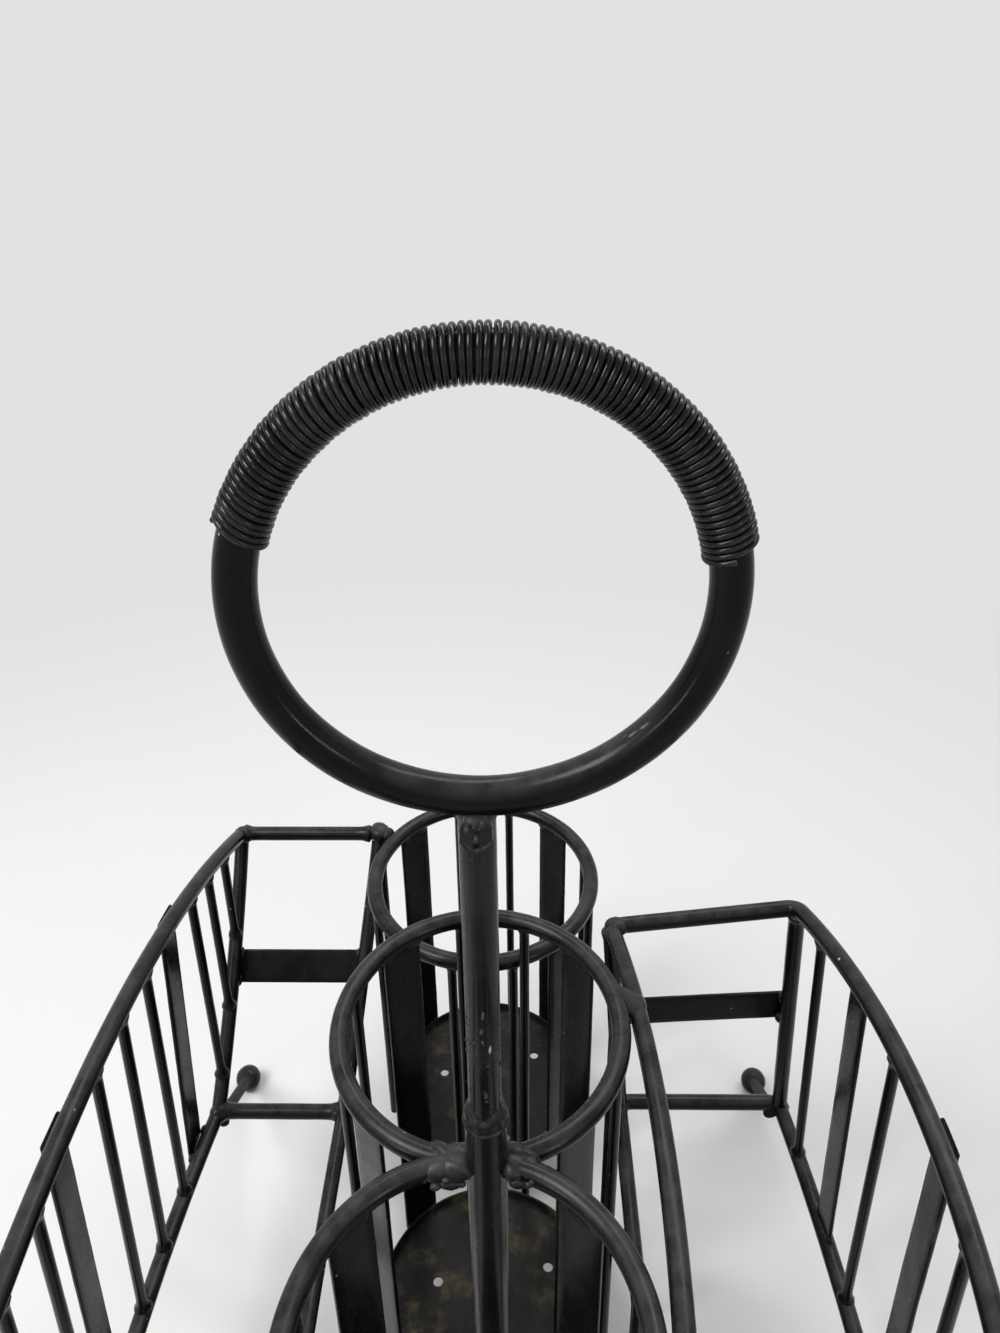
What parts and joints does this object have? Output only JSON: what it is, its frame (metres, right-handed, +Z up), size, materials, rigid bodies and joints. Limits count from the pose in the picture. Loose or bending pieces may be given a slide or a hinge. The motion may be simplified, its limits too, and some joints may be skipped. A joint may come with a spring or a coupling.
{
  "type": "buffet caddy",
  "caption": "Black steel buffet caddy with a ring handle on a centre post, a row of round utensil cups, a plate rack on one side and a napkin rack on the other.",
  "frame": {"origin": "on the table, under the centre post, at the middle of the four feet", "axes": "+Z up, +X towards the napkin rack, +Y towards the back along the row of cups"},
  "size_m": [0.282, 0.3948, 0.4455],
  "materials": {
    "black_handle_paint": "semi-gloss black paint, worn, with small pinpricks of bright metal",
    "black_rod_paint": "satin black paint over lumpy welds, with dust and small chips",
    "black_strip_paint": "satin black paint on flat strip, with soft grey sheen",
    "black_floor_paint": "matte black paint, dusty, with brown rust freckles",
    "black_wire": "glossy black-painted wire"
  },
  "bodies": {
    "root": {"handle_ring": "black_handle_paint", "centre_post": "black_handle_paint", "lower_tube": "black_rod_paint", "grip_winding": "black_wire", "cup_1_cage": "black_rod_paint", "cup_1_floor": "black_floor_paint", "cup_1_strip_1": "black_strip_paint", "cup_1_strip_2": "black_strip_paint", "cup_1_strip_3": "black_strip_paint", "cup_1_strip_4": "black_strip_paint", "cup_2_cage": "black_rod_paint", "cup_2_floor": "black_floor_paint", "cup_2_strip_1": "black_strip_paint", "cup_2_strip_2": "black_strip_paint", "cup_2_strip_3": "black_strip_paint", "cup_2_strip_4": "black_strip_paint", "cup_3_cage": "black_rod_paint", "cup_3_floor": "black_floor_paint", "cup_3_strip_1": "black_strip_paint", "cup_3_strip_2": "black_strip_paint", "cup_3_strip_3": "black_strip_paint", "cup_3_strip_4": "black_strip_paint", "cup_4_cage": "black_rod_paint", "cup_4_floor": "black_floor_paint", "cup_4_strip_1": "black_strip_paint", "cup_4_strip_2": "black_strip_paint", "cup_4_strip_3": "black_strip_paint", "cup_4_strip_4": "black_strip_paint", "plate_rack_side": "black_rod_paint", "plate_rack_inner": "black_rod_paint", "plate_rack_strip_1": "black_strip_paint", "plate_rack_strip_2": "black_strip_paint", "plate_rack_strip_3": "black_strip_paint", "plate_rack_rear_top": "black_rod_paint", "plate_rack_rear_base": "black_rod_paint", "plate_rack_rear_band": "black_strip_paint", "plate_rack_front_top": "black_rod_paint", "plate_rack_front_base": "black_rod_paint", "plate_rack_front_band": "black_strip_paint", "plate_rear_leg": "black_rod_paint", "plate_rear_ball": "black_rod_paint", "plate_front_leg": "black_rod_paint", "plate_front_ball": "black_rod_paint", "napkin_rack_rim": "black_rod_paint", "napkin_rack_basket": "black_rod_paint", "napkin_rack_strip_1": "black_strip_paint", "napkin_rack_strip_2": "black_strip_paint", "napkin_rack_strip_3": "black_strip_paint", "napkin_rack_rear_band": "black_strip_paint", "napkin_rack_front_band": "black_strip_paint", "napkin_rear_leg": "black_rod_paint", "napkin_rear_ball": "black_rod_paint", "napkin_front_leg": "black_rod_paint", "napkin_front_ball": "black_rod_paint"}
  },
  "joints": []
}
